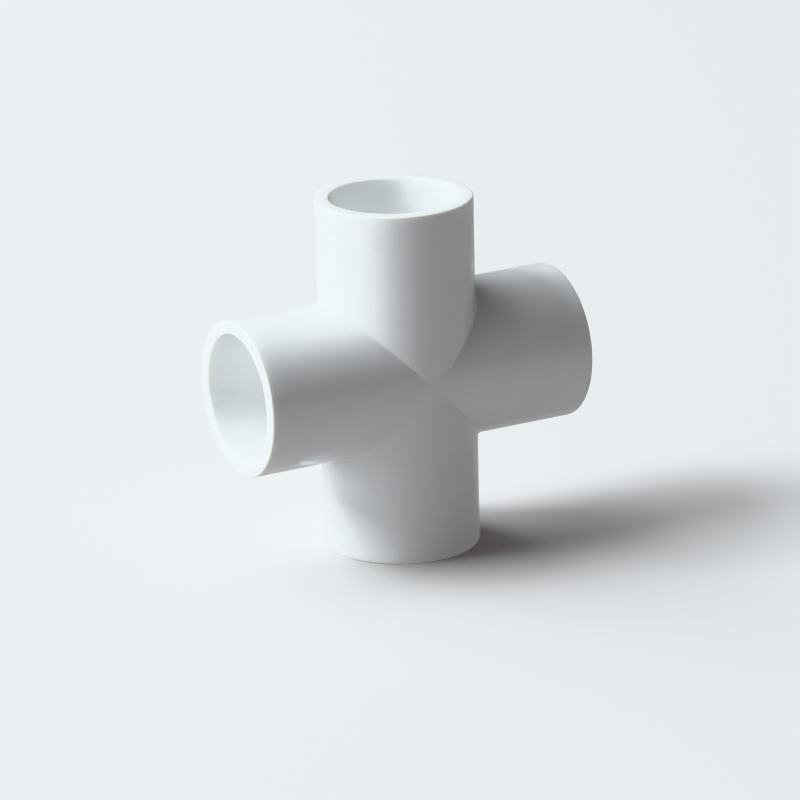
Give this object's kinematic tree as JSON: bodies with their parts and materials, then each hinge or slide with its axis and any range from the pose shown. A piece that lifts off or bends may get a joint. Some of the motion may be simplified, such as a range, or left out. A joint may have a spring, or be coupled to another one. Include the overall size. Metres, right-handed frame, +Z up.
{
  "type": "pipe cross fitting",
  "caption": "White PVC-U equal cross that joins pipes of 20 mm outside diameter at right angles in one plane, with plain solvent-weld sockets, pipe stops and an open waterway.",
  "frame": {"origin": "the point where the two pipe axes cross, which is the centre of the fitting", "axes": "+Z up the vertical run and out of socket_top, +X along the horizontal run and out of socket_right, +Y through the thickness"},
  "size_m": [0.056, 0.0244, 0.056],
  "materials": {
    "white_pvc": "moulded, semi-gloss, cool white"
  },
  "bodies": {
    "root": {"hub": "white_pvc", "socket_top": "white_pvc", "socket_bottom": "white_pvc", "socket_right": "white_pvc", "socket_left": "white_pvc"}
  },
  "joints": []
}
